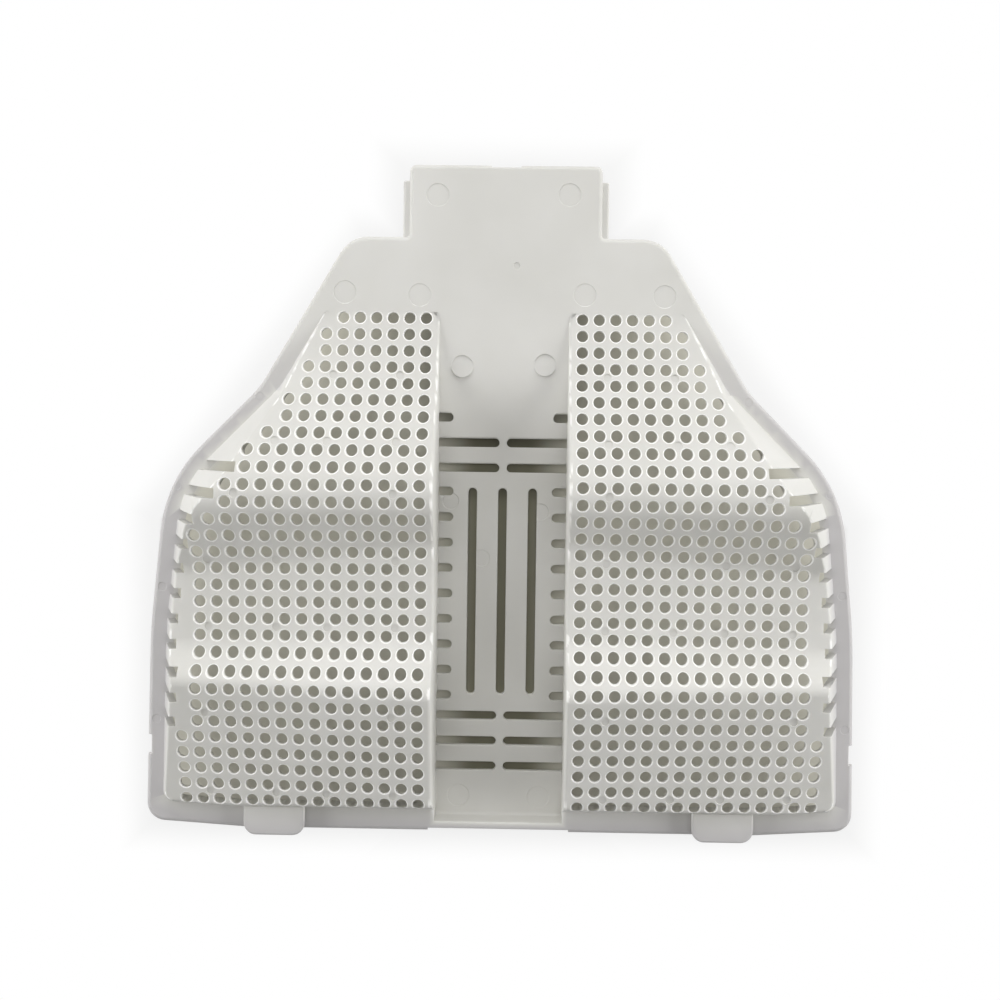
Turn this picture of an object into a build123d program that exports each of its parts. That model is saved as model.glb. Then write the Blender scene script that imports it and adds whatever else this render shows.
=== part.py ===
from build123d import *
import os
from math import hypot, radians, sin, tan

# Moulding stock, and the heights of its levels above the table
WALL = 1.6
ROOF = 1.8
PLATE = 1.8
FLOOR = 1.8
FLOOR_DROP = 7.0
RIM_TOP = FLOOR + FLOOR_DROP

# Plan of the plate: neck behind, shoulders, waist, hips and a nearly straight front
NECK_HALF_WIDTH = 23.2
NECK_END = 81.2
SHOULDER_X = 37.6
SHOULDER_Y = 63.9
WAIST_X = 59.2
WAIST_Y = 27.3
HIP_X = 82.1
HIP_Y = 4.2
FLANK_X = 85.5
FLANK_Y = -31.7
HALF_WIDTH = 86.2
FRONT_X = 62.0
FRONT_Y = -80.4
CORNER_RISE = 1.5
CORNER_Y = FRONT_Y + CORNER_RISE
NECK_ROUND = 1.5
NECK_FILLET = 0.8
SHOULDER_ROUND = 8.0
WAIST_ROUND = 20.0
HIP_ROUND = 34.0
FLANK_ROUND = 150.0
CORNER_ROUND = 4.5
FRONT_ROUND = 30.0

# Neck details
NECK_NOTCH = 7.2
NECK_NOTCH_DEPTH = 0.5
RAIL_WIDTH = 1.6
RAIL_LENGTH = 13.6
RAIL_STEP = 1.2
RAIL_THICKNESS = 1.8

# Small cut in each long edge of the rim
EDGE_CUT_Y = -60.2
EDGE_CUT_LENGTH = 4.8
EDGE_CUT_DEPTH = 1.2

# Wings: foot lines measured in from the plate's outline, walls leaning inward
WING_START = 45.8
RIM_BACK = 6.4
RIM_SIDE = 4.8
RIM_FRONT = 4.6
WALL_LEAN = 20.0
WALL_HEIGHT = 34.0
WING_START_ROUND = 2.0
WING_WAIST_ROUND = 16.0
WING_HIP_ROUND = 28.0
WING_CORNER_ROUND = 3.0

# Long section of a wing beside the channel: height over the rim at each bend of it
TOE_Y = 25.5
TOE_HEIGHT = 3.4
BACK_RIDGE_Y = 2.5
BACK_RIDGE_HEIGHT = 21.0
VALLEY_BACK_Y = -9.5
VALLEY_BACK_HEIGHT = 10.9
VALLEY_FRONT_Y = -32.9
VALLEY_FRONT_HEIGHT = 9.7
FRONT_RIDGE_Y = -43.3
FRONT_RIDGE_HEIGHT = 20.1
NOSE_SETBACK = 11.4
NOSE_Y = FRONT_Y + NOSE_SETBACK
NOSE_HEIGHT = 11.1
NOSE_SLOPE = 0.6
BEND_ROUNDS = [40.0, 9.0, 5.0, 6.0, 4.0, 10.0]
BEND_FLAT_COUNTS = [2, 3, 2, 2, 2, 1]
RUN_ON = 20.0

# How far each slope of the section climbs towards the side, in mm per mm
SIDE_CLIMBS = [0.0, 0.085, 0.11, 0.02, -0.02, -0.068, -0.07]

# Sunken channel between the wings
CHANNEL_HALF = 15.6
RAMP_START = 31.3
RAMP_END = 17.3
RAMP_ROUND = 12.0
RAMP_SHIFT = 0.4
LIP_SETBACK = 2.4
LIP_INSIDE = FRONT_Y + LIP_SETBACK
LIP_THICKNESS = 1.7
LIP_ROUND = 1.2
LIP_FILLET = 0.8

# Drain slots in the channel floor; those at the walls run on into a window
SLOT_WIDTH = 2.1
LONG_SLOT_PITCH = 7.4
LONG_SLOT_START = 3.3
LONG_SLOT_END = -47.8
CROSS_BAR = 1.8
CROSS_SLOTS = [14.5, 8.3, -53.2, -59.5, -65.8]
SHORT_SLOT_LENGTH = 3.4
SHORT_SLOT_FIRST = 2.4
SHORT_SLOT_PITCH = 6.32
SHORT_SLOT_COUNT = 9
RAMP_SLOT_Y = 20.6
WINDOW_HEIGHT = 3.0

# Comb of slots through each wing's outer wall
COMB_FIRST = 8.2
COMB_PITCH = 6.03
COMB_COUNT = 11
COMB_WIDTH = 2.4
COMB_BITE = 1.7

# Tongues that stand out of the wings' front wall over the rim
TAB_X = 54.2
TAB_WIDTH = 14.8
TAB_OVERHANG = 0.8
TAB_END = FRONT_Y - TAB_OVERHANG
TAB_RISE = 2.2
TAB_THICKNESS = 1.6
TAB_ROUND = 3.0

# Perforation of the wings
HOLE_PITCH = 8.0
HOLE_DIAMETER = 2.5
HOLE_SIDES = 4
FIRST_HOLE_X = 18.8
FIRST_HOLE_Y = 44.3
FIELD_BACK = 8.4
FIELD_SIDE = 11.2
FIELD_FRONT = 7.0

# How far a cut runs past the faces that it goes through
RUN_OUT = 1.0


def bend(last, here, following, radius):
    """Start, middle and end of the arc that rounds a corner."""
    here = Vector(*here)
    back = (Vector(*last) - here).normalized()
    ahead = (Vector(*following) - here).normalized()
    half = radians(back.get_angle(ahead) / 2)
    reach = radius / tan(half)
    middle = here + (back + ahead).normalized() * (radius / sin(half) - radius)
    return here + back * reach, middle, here + ahead * reach


def rounded(corners):
    """Flat face that looks up, through (x, y, radius) corners rounded by their own radius."""
    count = len(corners)
    turn = 0
    for i in range(count):
        turn += corners[i - 1][0] * corners[i][1] - corners[i][0] * corners[i - 1][1]
    if turn < 0:
        corners = corners[::-1]
    bends = []
    for i in range(count):
        following = corners[(i + 1) % count]
        bends.append(bend(corners[i - 1][:2], corners[i][:2], following[:2], corners[i][2]))
    edges = []
    for i in range(count):
        start, middle, end = bends[i]
        if corners[i][2] > 0:
            edges.append(ThreePointArc(start, middle, end))
        if (bends[(i + 1) % count][0] - end).length > 0.001:
            edges.append(Line(end, bends[(i + 1) % count][0]))
    return Face(Wire(edges))


def inset(corners, margins):
    """The corners of a clockwise polygon whose sides have each moved inward by a margin."""
    count = len(corners)
    sides = []
    for i in range(count):
        ax, ay = corners[i]
        bx, by = corners[(i + 1) % count]
        length = hypot(bx - ax, by - ay)
        nx = (by - ay) / length
        ny = (ax - bx) / length
        sides.append((nx, ny, nx * ax + ny * ay + margins[i]))
    moved = []
    for i in range(count):
        a1, b1, c1 = sides[i - 1]
        a2, b2, c2 = sides[i]
        spread = a1 * b2 - a2 * b1
        moved.append(((c1 * b2 - c2 * b1) / spread, (a1 * c2 - a2 * c1) / spread))
    return moved


def crossings(y, polygon):
    """Lowest and highest x at which a convex polygon crosses the level y."""
    found = []
    for i in range(len(polygon)):
        ax, ay = polygon[i - 1]
        bx, by = polygon[i]
        if (ay > y) != (by > y):
            found.append(ax + (y - ay) * (bx - ax) / (by - ay))
    return min(found), max(found)


def wing_foot(back, side, front):
    """Right half of the wings' plan, set in from the plate's outline."""
    share = (SHOULDER_Y - WING_START) / (SHOULDER_Y - WAIST_Y)
    corners = [
        (0, WING_START),
        (SHOULDER_X + share * (WAIST_X - SHOULDER_X), WING_START),
        (WAIST_X, WAIST_Y),
        (HIP_X, HIP_Y),
        (FLANK_X, FLANK_Y),
        (HALF_WIDTH, CORNER_Y),
        (FRONT_X, FRONT_Y),
        (0, FRONT_Y),
    ]
    return inset(corners, [0, back, back, side, side, front, front, 0])


def section(x):
    """Bends (y, height over the rim) of a wing's long section at a distance x from the axis."""
    bends = [
        (WING_START + RUN_ON, -RUN_ON * TOE_HEIGHT / (WING_START - TOE_Y)),
        (TOE_Y, TOE_HEIGHT),
        (BACK_RIDGE_Y, BACK_RIDGE_HEIGHT),
        (VALLEY_BACK_Y, VALLEY_BACK_HEIGHT),
        (VALLEY_FRONT_Y, VALLEY_FRONT_HEIGHT),
        (FRONT_RIDGE_Y, FRONT_RIDGE_HEIGHT),
        (NOSE_Y, NOSE_HEIGHT),
        (NOSE_Y - RUN_ON, NOSE_HEIGHT - RUN_ON * NOSE_SLOPE),
    ]
    slopes = [(b[1] - a[1]) / (b[0] - a[0]) for a, b in zip(bends, bends[1:])]
    out = x - CHANNEL_HALF
    moved = [bends[0]]
    for i in range(1, len(bends) - 1):
        y, z = bends[i]
        shift = (SIDE_CLIMBS[i] - SIDE_CLIMBS[i - 1]) * out / (slopes[i - 1] - slopes[i])
        moved.append((y + shift, z + slopes[i] * shift + SIDE_CLIMBS[i] * out))
    moved.append((bends[-1][0], bends[-1][1] + SIDE_CLIMBS[-1] * out))
    return moved


def section_line(x, drop):
    """Points of that section with its bends rounded by a few flats each."""
    bends = section(x)
    line = [Vector(*bends[0])]
    for i in range(1, len(bends) - 1):
        arc = ThreePointArc(*bend(bends[i - 1], bends[i], bends[i + 1], BEND_ROUNDS[i - 1]))
        flats = BEND_FLAT_COUNTS[i - 1]
        line += [arc @ (k / flats) for k in range(flats + 1)]
    line.append(Vector(*bends[-1]))
    return [(x, point.X, RIM_TOP + point.Y - drop) for point in line]


def under_section(drop):
    """Solid under the wing's slopes, from the channel to the side."""
    near = section_line(CHANNEL_HALF, drop)
    far = section_line(HALF_WIDTH, drop)
    for line in (near, far):
        line.append((line[0][0], line[-1][1], RIM_TOP - RUN_ON))
        line.append((line[0][0], line[0][1], RIM_TOP - RUN_ON))
    faces = [Face(Wire.make_polygon(near)), Face(Wire.make_polygon(far))]
    for i in range(len(near)):
        faces.append(Face(Wire.make_polygon([near[i - 1], near[i], far[i], far[i - 1]])))
    return Solid(Shell(faces))


def wing_form(foot, drop, base):
    """Solid under the wing's slopes, within leaning walls that rise from the foot."""
    rounds = [
        0,
        WING_START_ROUND,
        WING_WAIST_ROUND,
        WING_HIP_ROUND,
        FLANK_ROUND,
        WING_CORNER_ROUND,
        FRONT_ROUND,
        0,
    ]
    plan = rounded([(x, y, r) for (x, y), r in zip(foot, rounds)])
    walls = extrude(Pos(0, 0, base) * plan, amount=WALL_HEIGHT, taper=WALL_LEAN)
    return walls & under_section(drop)


def block(x0, x1, y0, y1, z0, z1):
    """Box between two corners."""
    middle = Pos((x0 + x1) / 2, (y0 + y1) / 2, (z0 + z1) / 2)
    return middle * Box(abs(x1 - x0), abs(y1 - y0), abs(z1 - z0))


def slot(x0, x1, y0, y1):
    """Through slot in the channel floor, with full round ends."""
    radius = SLOT_WIDTH / 2
    corners = [(x0, y1, radius), (x1, y1, radius), (x1, y0, radius), (x0, y0, radius)]
    return extrude(Pos(0, 0, -RUN_OUT) * rounded(corners), amount=RUN_OUT + FLOOR + WINDOW_HEIGHT)


def lengthwise_slot(x):
    """Long drain slot along the channel."""
    return slot(x - SLOT_WIDTH / 2, x + SLOT_WIDTH / 2, LONG_SLOT_END, LONG_SLOT_START)


def crosswise_slot(start, y):
    """Drain slot across the channel, from a place in its floor into the foot of its wall."""
    end = CHANNEL_HALF + WALL + SLOT_WIDTH
    return slot(start, end, y - SLOT_WIDTH / 2, y + SLOT_WIDTH / 2)


def height(x, y):
    """Height of a wing over the rim, its bends taken as sharp."""
    bends = section(x)
    for (y0, z0), (y1, z1) in zip(bends, bends[1:]):
        if y1 <= y <= y0:
            return z0 + (z1 - z0) * (y0 - y) / (y0 - y1)
    return 0


# Plate with its neck
plan = rounded([
    (0, NECK_END, 0),
    (NECK_HALF_WIDTH, NECK_END, NECK_ROUND),
    (NECK_HALF_WIDTH, SHOULDER_Y, NECK_FILLET),
    (SHOULDER_X, SHOULDER_Y, SHOULDER_ROUND),
    (WAIST_X, WAIST_Y, WAIST_ROUND),
    (HIP_X, HIP_Y, HIP_ROUND),
    (FLANK_X, FLANK_Y, FLANK_ROUND),
    (HALF_WIDTH, CORNER_Y, CORNER_ROUND),
    (FRONT_X, FRONT_Y, FRONT_ROUND),
    (0, FRONT_Y, 0),
])
half = extrude(Pos(0, 0, RIM_TOP - PLATE) * plan, amount=PLATE)
half += block(
    NECK_HALF_WIDTH - RAIL_WIDTH,
    NECK_HALF_WIDTH + RAIL_WIDTH,
    SHOULDER_Y - RAIL_WIDTH,
    SHOULDER_Y + RAIL_LENGTH,
    RIM_TOP - RAIL_STEP - RAIL_THICKNESS,
    RIM_TOP - RAIL_STEP,
)
half -= block(0, NECK_NOTCH / 2, NECK_END - NECK_NOTCH_DEPTH, NECK_END + RUN_OUT, 0, RIM_TOP + RUN_OUT)
half -= block(
    HALF_WIDTH - EDGE_CUT_DEPTH,
    HALF_WIDTH + RUN_OUT,
    EDGE_CUT_Y - EDGE_CUT_LENGTH / 2,
    EDGE_CUT_Y + EDGE_CUT_LENGTH / 2,
    0,
    RIM_TOP + RUN_OUT,
)

# Wing, and the block that the channel is sunk into
foot = wing_foot(RIM_BACK, RIM_SIDE, RIM_FRONT)
half += wing_form(foot, 0, RIM_TOP - PLATE)
lip_outside = LIP_INSIDE - LIP_THICKNESS
trough = Plane.YZ * rounded([
    (WING_START, RIM_TOP, 0),
    (WING_START, RIM_TOP - PLATE, 0),
    (RAMP_START + RAMP_SHIFT, RIM_TOP - PLATE, RAMP_ROUND - PLATE),
    (RAMP_END + RAMP_SHIFT, 0, RAMP_ROUND + PLATE),
    (lip_outside, 0, LIP_ROUND),
    (lip_outside, RIM_TOP, 0),
])
half += extrude(trough, amount=CHANNEL_HALF + WALL)

# Hollow under the wing, open below
hollow_foot = wing_foot(RIM_BACK + WALL, RIM_SIDE + WALL, RIM_FRONT + WALL)
hollow = wing_form(hollow_foot, ROOF, RIM_TOP - PLATE - RUN_OUT)
room = block(CHANNEL_HALF + WALL, HALF_WIDTH, FRONT_Y, WING_START - WALL, 0, RIM_TOP + WALL_HEIGHT)
half -= hollow & room

# Channel, open above, with its ramp and front lip
channel = Plane.YZ * rounded([
    (WING_START + RUN_OUT, RIM_TOP, 0),
    (WING_START + RUN_OUT, RIM_TOP + WALL_HEIGHT, 0),
    (FRONT_Y - RUN_OUT, RIM_TOP + WALL_HEIGHT, 0),
    (FRONT_Y - RUN_OUT, RIM_TOP, 0),
    (LIP_INSIDE, RIM_TOP, 0),
    (LIP_INSIDE, FLOOR, LIP_FILLET),
    (RAMP_END, FLOOR, RAMP_ROUND),
    (RAMP_START, RIM_TOP, RAMP_ROUND),
])
half -= extrude(channel, amount=CHANNEL_HALF)
half -= block(0, CHANNEL_HALF + WALL, lip_outside, FRONT_Y - RUN_OUT, -RUN_OUT, RIM_TOP + RUN_OUT)

# Drain slots
cuts = [lengthwise_slot(0), lengthwise_slot(LONG_SLOT_PITCH)]
for y in CROSS_SLOTS:
    cuts.append(crosswise_slot(CROSS_BAR / 2, y))
for i in range(SHORT_SLOT_COUNT):
    cuts.append(crosswise_slot(CHANNEL_HALF - SHORT_SLOT_LENGTH, SHORT_SLOT_FIRST - i * SHORT_SLOT_PITCH))
cuts.append(crosswise_slot(CHANNEL_HALF - SHORT_SLOT_LENGTH, RAMP_SLOT_Y))
half -= cuts

# Comb in the outer wall
combs = []
for i in range(COMB_COUNT):
    y = COMB_FIRST - i * COMB_PITCH
    edge = crossings(y, foot)[1]
    bite = height(edge, y) * tan(radians(WALL_LEAN)) + COMB_BITE
    low = y - COMB_WIDTH / 2
    combs.append(block(edge - bite, HALF_WIDTH, low, low + COMB_WIDTH, RIM_TOP, RIM_TOP + WALL_HEIGHT))
half -= combs

# Tongue over the front rim
tab_back = FRONT_Y + RIM_FRONT + WALL
tongue = rounded([
    (TAB_X - TAB_WIDTH / 2, tab_back, 0),
    (TAB_X + TAB_WIDTH / 2, tab_back, 0),
    (TAB_X + TAB_WIDTH / 2, TAB_END, TAB_ROUND),
    (TAB_X - TAB_WIDTH / 2, TAB_END, TAB_ROUND),
])
half += extrude(Pos(0, 0, RIM_TOP + TAB_RISE) * tongue, amount=TAB_THICKNESS)

# Perforation
field = wing_foot(FIELD_BACK, FIELD_SIDE, FIELD_FRONT)
punch = RegularPolygon(HOLE_DIAMETER / 2, HOLE_SIDES)
holes = []
y = FIRST_HOLE_Y
while y > FRONT_Y + FIELD_FRONT + CORNER_RISE:
    x = FIRST_HOLE_X
    while x < crossings(y, field)[1]:
        hole = Pos(x, y, RIM_TOP - PLATE - RUN_OUT) * punch
        holes.append(extrude(hole, amount=WALL_HEIGHT))
        x += HOLE_PITCH
    y -= HOLE_PITCH
half -= holes

# Both halves as one moulding
sink_filter = (half + mirror(half, Plane.YZ)).clean()

os.makedirs("parts", exist_ok=True)
export_step(sink_filter, "parts/sink_filter.step")
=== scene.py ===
# %% [markdown]
# # A perforated sink filter tray
# The object is one thin moulding of pale warm-grey plastic. Two humped wings full of round holes stand
# on a flat plate, and a sunken channel with drain slots runs between them. This lesson rebuilds that
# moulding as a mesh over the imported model, then gives it a plastic finish, a pale table and soft light.

# %% Load the frame
import math
import bmesh
import bpy
import numpy as np
from mathutils import Matrix, Vector


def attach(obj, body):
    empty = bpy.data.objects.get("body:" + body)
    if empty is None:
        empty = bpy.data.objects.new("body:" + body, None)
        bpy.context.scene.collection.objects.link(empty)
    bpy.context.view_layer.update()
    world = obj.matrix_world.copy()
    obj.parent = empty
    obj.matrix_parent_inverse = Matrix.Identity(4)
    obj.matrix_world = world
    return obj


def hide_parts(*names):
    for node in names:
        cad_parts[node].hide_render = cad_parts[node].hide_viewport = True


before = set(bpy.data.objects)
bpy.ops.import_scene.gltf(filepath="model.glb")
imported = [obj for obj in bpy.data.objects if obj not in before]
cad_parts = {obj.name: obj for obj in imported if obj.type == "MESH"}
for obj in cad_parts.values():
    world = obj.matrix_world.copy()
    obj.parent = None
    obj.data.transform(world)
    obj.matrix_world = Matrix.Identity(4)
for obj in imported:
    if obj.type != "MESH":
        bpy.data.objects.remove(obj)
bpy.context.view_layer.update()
NODE = "sink_filter"

# %% [markdown]
# ## Sizes
# A moulding is easiest to think of in millimetres, so every size below is one, and the finished mesh is
# scaled to metres once, at the end. The levels come first: the channel's underside rests on the table,
# and the plate's top is the level that all heights of the wings are measured from.

# %% Levels and plan
WALL = 1.6
ROOF = 1.8
PLATE = 1.8
FLOOR = 1.8
RIM = 8.8
LEAN = math.tan(math.radians(20))
FRONT_LEAN = math.tan(math.radians(15.5))
CHANNEL = 15.6
WING_START = 45.8
FRONT = -80.4
LIP_INSIDE = -78.0
LIP_OUTSIDE = -79.7

# Right half of the plate, from the neck round to the front: x, y, corner radius
PLATE_HALF = [
    (23.2, 81.2, 1.5),
    (23.2, 63.9, 0.8),
    (37.6, 63.9, 8.0),
    (59.2, 27.3, 20.0),
    (82.1, 4.2, 34.0),
    (85.5, -31.7, 150.0),
    (86.2, -78.9, 4.5),
    (62.0, FRONT, 30.0),
]
print("plate half outline:", len(PLATE_HALF), "corners")

# %% [markdown]
# ## Outlines and prisms
# Most of the moulding is flat shapes pulled upwards, so two helpers do the groundwork. One walks round a
# list of corners and rounds each by its own radius. The other stacks copies of an outline into a closed
# solid. Each copy may be set in a little, which is how a softened edge or a leaning wall is made, and
# that keeps the faces cleaner than a bevel after the cuts would.


# %% Outline helpers
def inset(corners, margins):
    """Clockwise corners whose sides have moved inward, each by its own margin."""
    count = len(corners)
    sides = []
    for i in range(count):
        ax, ay = corners[i][:2]
        bx, by = corners[(i + 1) % count][:2]
        length = math.hypot(bx - ax, by - ay)
        nx, ny = (by - ay) / length, (ax - bx) / length
        sides.append((nx, ny, nx * ax + ny * ay + margins[i]))
    moved = []
    for i in range(count):
        (a, b, c), (d, e, f) = sides[i - 1], sides[i]
        spread = a * e - d * b
        moved.append(((c * e - f * b) / spread, (a * f - d * c) / spread))
    return moved


def turn_at(corners, i):
    """Positive where a clockwise outline turns right, as at an outer corner."""
    last, here, following = corners[i - 1], corners[i], corners[(i + 1) % len(corners)]
    return ((here[1] - last[1]) * (following[0] - here[0])
            - (here[0] - last[0]) * (following[1] - here[1]))


def rounded(corners, steps=8):
    """Points along an outline of (x, y, radius) corners, the same count for every radius."""
    points = []
    for i in range(len(corners)):
        here = Vector(corners[i][:2])
        back = (Vector(corners[i - 1][:2]) - here).normalized()
        ahead = (Vector(corners[(i + 1) % len(corners)][:2]) - here).normalized()
        half = back.angle(ahead) / 2
        radius = max(corners[i][2], 0.01)
        centre = here + (back + ahead).normalized() * (radius / math.sin(half))
        start = here + back * (radius / math.tan(half)) - centre
        end = here + ahead * (radius / math.tan(half)) - centre
        sweep = start.angle_signed(end)
        for k in range(steps + 1):
            spin = Matrix.Rotation(-sweep * k / steps, 2)
            points.append(tuple(centre + spin @ start))
    return points


def set_in(corners, margins, steps=8):
    """Rounded outline set in by a margin for each side, its radii kept concentric."""
    moved = inset(corners, margins)
    new = []
    for i, (x, y) in enumerate(moved):
        step = max(margins[i - 1], margins[i])
        radius = corners[i][2] - step if turn_at(corners, i) > 0 else corners[i][2] + step
        new.append((x, y, max(radius, 0.02)))
    return rounded(new, steps)


def solid(name, rings):
    """Closed solid through rings of points, lowest first, with flat ends."""
    count = len(rings[0])
    points = [p for ring in rings for p in ring]
    faces = [tuple(range(count)), tuple(range(len(points) - count, len(points)))[::-1]]
    for r in range(len(rings) - 1):
        for i in range(count):
            j = (i + 1) % count
            a, b = r * count, (r + 1) * count
            faces.append((a + i, b + i, b + j, a + j))
    mesh = bpy.data.meshes.new(name)
    mesh.from_pydata(points, [], faces)
    bm = bmesh.new()
    bm.from_mesh(mesh)
    bmesh.ops.remove_doubles(bm, verts=bm.verts, dist=0.0005)
    bmesh.ops.recalc_face_normals(bm, faces=bm.faces)
    bm.to_mesh(mesh)
    bm.free()
    thing = bpy.data.objects.new(name, mesh)
    bpy.context.scene.collection.objects.link(thing)
    return thing


def volume(thing):
    """Volume of a closed mesh, in its own units."""
    bm = bmesh.new()
    bm.from_mesh(thing.data)
    size = bm.calc_volume(signed=True)
    bm.free()
    return round(size)


def prism(name, corners, layers, steps=8):
    """Solid from an outline, one layer for each (height, margin all round)."""
    rings = []
    for z, margin in layers:
        outline = set_in(corners, [margin] * len(corners), steps)
        rings.append([(x, y, z) for x, y in outline])
    return solid(name, rings)


def both_sides(half):
    """Clockwise corners of a shape that is the same left and right of the middle."""
    return half + [(-c[0],) + tuple(c[1:]) for c in half[::-1]]


# %% [markdown]
# ## Adding and cutting
# Holes, slots and hollows are easiest to make as in a workshop: shape the tool, then cut. Blender's
# Boolean modifier does this, and its manifold solver is fast and keeps the mesh watertight. The helper
# below bakes each modifier straight into the mesh and throws the tool away.


# %% Boolean helper
def bake(thing):
    """Turn an object's modifiers into its mesh."""
    graph = bpy.context.evaluated_depsgraph_get()
    mesh = bpy.data.meshes.new_from_object(thing.evaluated_get(graph))
    thing.modifiers.clear()
    old = thing.data
    thing.data = mesh
    bpy.data.meshes.remove(old)


def combine(thing, tool, operation):
    """Add, cut or trim an object with another, which is used up."""
    step = thing.modifiers.new("combine", "BOOLEAN")
    step.operation = operation
    step.solver = "MANIFOLD"
    step.object = tool
    bake(thing)
    mesh = tool.data
    bpy.data.objects.remove(tool)
    bpy.data.meshes.remove(mesh)


def joined(name, things):
    """One object from several separate ones."""
    points, faces = [], []
    for thing in things:
        base = len(points)
        points += [tuple(v.co) for v in thing.data.vertices]
        faces += [tuple(base + k for k in p.vertices) for p in thing.data.polygons]
        mesh = thing.data
        bpy.data.objects.remove(thing)
        bpy.data.meshes.remove(mesh)
    mesh = bpy.data.meshes.new(name)
    mesh.from_pydata(points, [], faces)
    thing = bpy.data.objects.new(name, mesh)
    bpy.context.scene.collection.objects.link(thing)
    return thing


def mirrored(thing, name):
    """Copy of an object on the other side of the middle."""
    points = [(-v.co.x, v.co.y, v.co.z) for v in thing.data.vertices]
    faces = [tuple(p.vertices)[::-1] for p in thing.data.polygons]
    mesh = bpy.data.meshes.new(name)
    mesh.from_pydata(points, [], faces)
    copy = bpy.data.objects.new(name, mesh)
    bpy.context.scene.collection.objects.link(copy)
    return copy


# %% [markdown]
# ## The long section of a wing
# Seen from the side, a wing climbs from the plate to a back ridge, drops into a valley, climbs to a front
# ridge and falls to the front wall. Each slope is a plane that also tilts a little towards the side, and
# each bend between two slopes is an arc. The section is worked out at any distance from the middle, so the
# same lines give the roof, its underside, the rims of the holes and, later, the smooth normals.

# %% Section lines
BENDS = [(65.8, -3.35), (25.5, 3.4), (2.5, 21.0), (-9.5, 10.9), (-32.9, 9.7), (-43.3, 20.1)]
FRONT_FALL = 0.35
BEND_ROUNDS = [40.0, 9.0, 5.0, 6.0, 4.0, 1.9]
SIDE_CLIMBS = [0.0, 0.085, 0.11, 0.02, -0.02, -0.068, 0.0]
WALL_FOOT = -75.1
ARC_STEPS = 9


def section(x):
    """Lines (y, height over the rim, slope, side climb) of a wing's roof at a distance x."""
    slopes = [(b[1] - a[1]) / (b[0] - a[0]) for a, b in zip(BENDS, BENDS[1:])]
    slopes += [FRONT_FALL, 1 / FRONT_LEAN]
    y, z = BENDS[-1]
    nose = (y * FRONT_FALL - z - WALL_FOOT / FRONT_LEAN) / (FRONT_FALL - 1 / FRONT_LEAN)
    bends = BENDS + [(nose, (nose - WALL_FOOT) / FRONT_LEAN), (WALL_FOOT - 4, -4 / FRONT_LEAN)]
    climbs = SIDE_CLIMBS
    out = x - CHANNEL
    moved = [bends[0]]
    for i in range(1, len(bends) - 1):
        shift = (climbs[i] - climbs[i - 1]) * out / (slopes[i - 1] - slopes[i])
        moved.append((bends[i][0] + shift, bends[i][1] + slopes[i] * shift + climbs[i] * out))
    moved.append(bends[-1])
    lines = [moved[0] + (slopes[0], climbs[0])]
    for i in range(1, len(moved) - 1):
        first, second = math.atan(slopes[i - 1]), math.atan(slopes[i])
        turn = second - first
        radius = BEND_ROUNDS[i - 1]
        reach = radius * abs(math.tan(turn / 2))
        y0 = moved[i][0] + reach * math.cos(first)
        z0 = moved[i][1] + reach * math.sin(first)
        side = radius if turn > 0 else -radius
        for k in range(ARC_STEPS + 1):
            here = first + turn * k / ARC_STEPS
            y = y0 + side * (math.sin(first) - math.sin(here))
            z = z0 + side * (math.cos(here) - math.cos(first))
            climb = climbs[i - 1] + (climbs[i] - climbs[i - 1]) * k / ARC_STEPS
            lines.append((y, z, math.tan(here), climb))
    lines.append(moved[-1] + (slopes[-1], climbs[-1]))
    return lines


NEAR_X, FAR_X = 12.0, 90.0
NEAR = np.array(section(NEAR_X))
FAR = np.array(section(FAR_X))
print("section lines:", len(NEAR), "highest point over the rim:", round(NEAR[:, 1].max(), 2))


def roof(x, y):
    """Height over the rim, slope along and climb across, at any points of a wing."""
    x, y = np.abs(np.atleast_1d(x)), np.atleast_1d(y)
    share = ((x - NEAR_X) / (FAR_X - NEAR_X))[:, None, None]
    lines = NEAR[None] * (1 - share) + FAR[None] * share
    k = np.clip((lines[:, :, 0] > y[:, None]).sum(1) - 1, 0, len(NEAR) - 2)
    rows = np.arange(len(x))
    a, b = lines[rows, k], lines[rows, k + 1]
    t = np.clip((a[:, 0] - y) / (a[:, 0] - b[:, 0]), 0, 1)[:, None]
    return (a * (1 - t) + b * t)[:, 1:]

# %% [markdown]
# ## The plate
# The plate is a flat rim with a neck at the back. Its top edge is rolled over by more than a millimetre,
# which is why it shows a soft bright line in side light. The roll is a stack of outlines, each set in a
# little more than the last.


# %% Plate
def rolled(bottom, top, roll, under=0.25, steps=5):
    """Layers of a prism with a rolled top edge and a small break below."""
    layers = [(bottom, under), (bottom + under, 0.0)]
    for k in range(steps + 1):
        angle = math.pi / 2 * k / steps
        layers.append((top - roll * (1 - math.sin(angle)), roll * (1 - math.cos(angle))))
    return layers


tray = prism("filter_tray", both_sides(PLATE_HALF), rolled(RIM - PLATE, RIM, 1.1))
rails = []
for side in (-1, 1):
    x0, x1 = sorted((side * 21.6, side * 24.8))
    rail = [(x1, 77.5, 0.5), (x1, 62.3, 0.3), (x0, 62.3, 0.3), (x0, 77.5, 0.5)]
    rails.append(prism("rail", rail, rolled(RIM - 3.0, RIM - 1.2, 0.4)))
combine(tray, joined("rails", rails), "UNION")
print("plate and rails:", len(tray.data.polygons), "faces, cubic millimetres:", volume(tray))

# %% [markdown]
# ## The wings
# A wing is what is left when a block with leaning walls is trimmed by the solid under its section. It is
# rolled over at the channel and softened where roof and wall meet, while it is still a simple shape: a
# bevel that is told its width edge by edge behaves best before any hole is cut.

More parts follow.
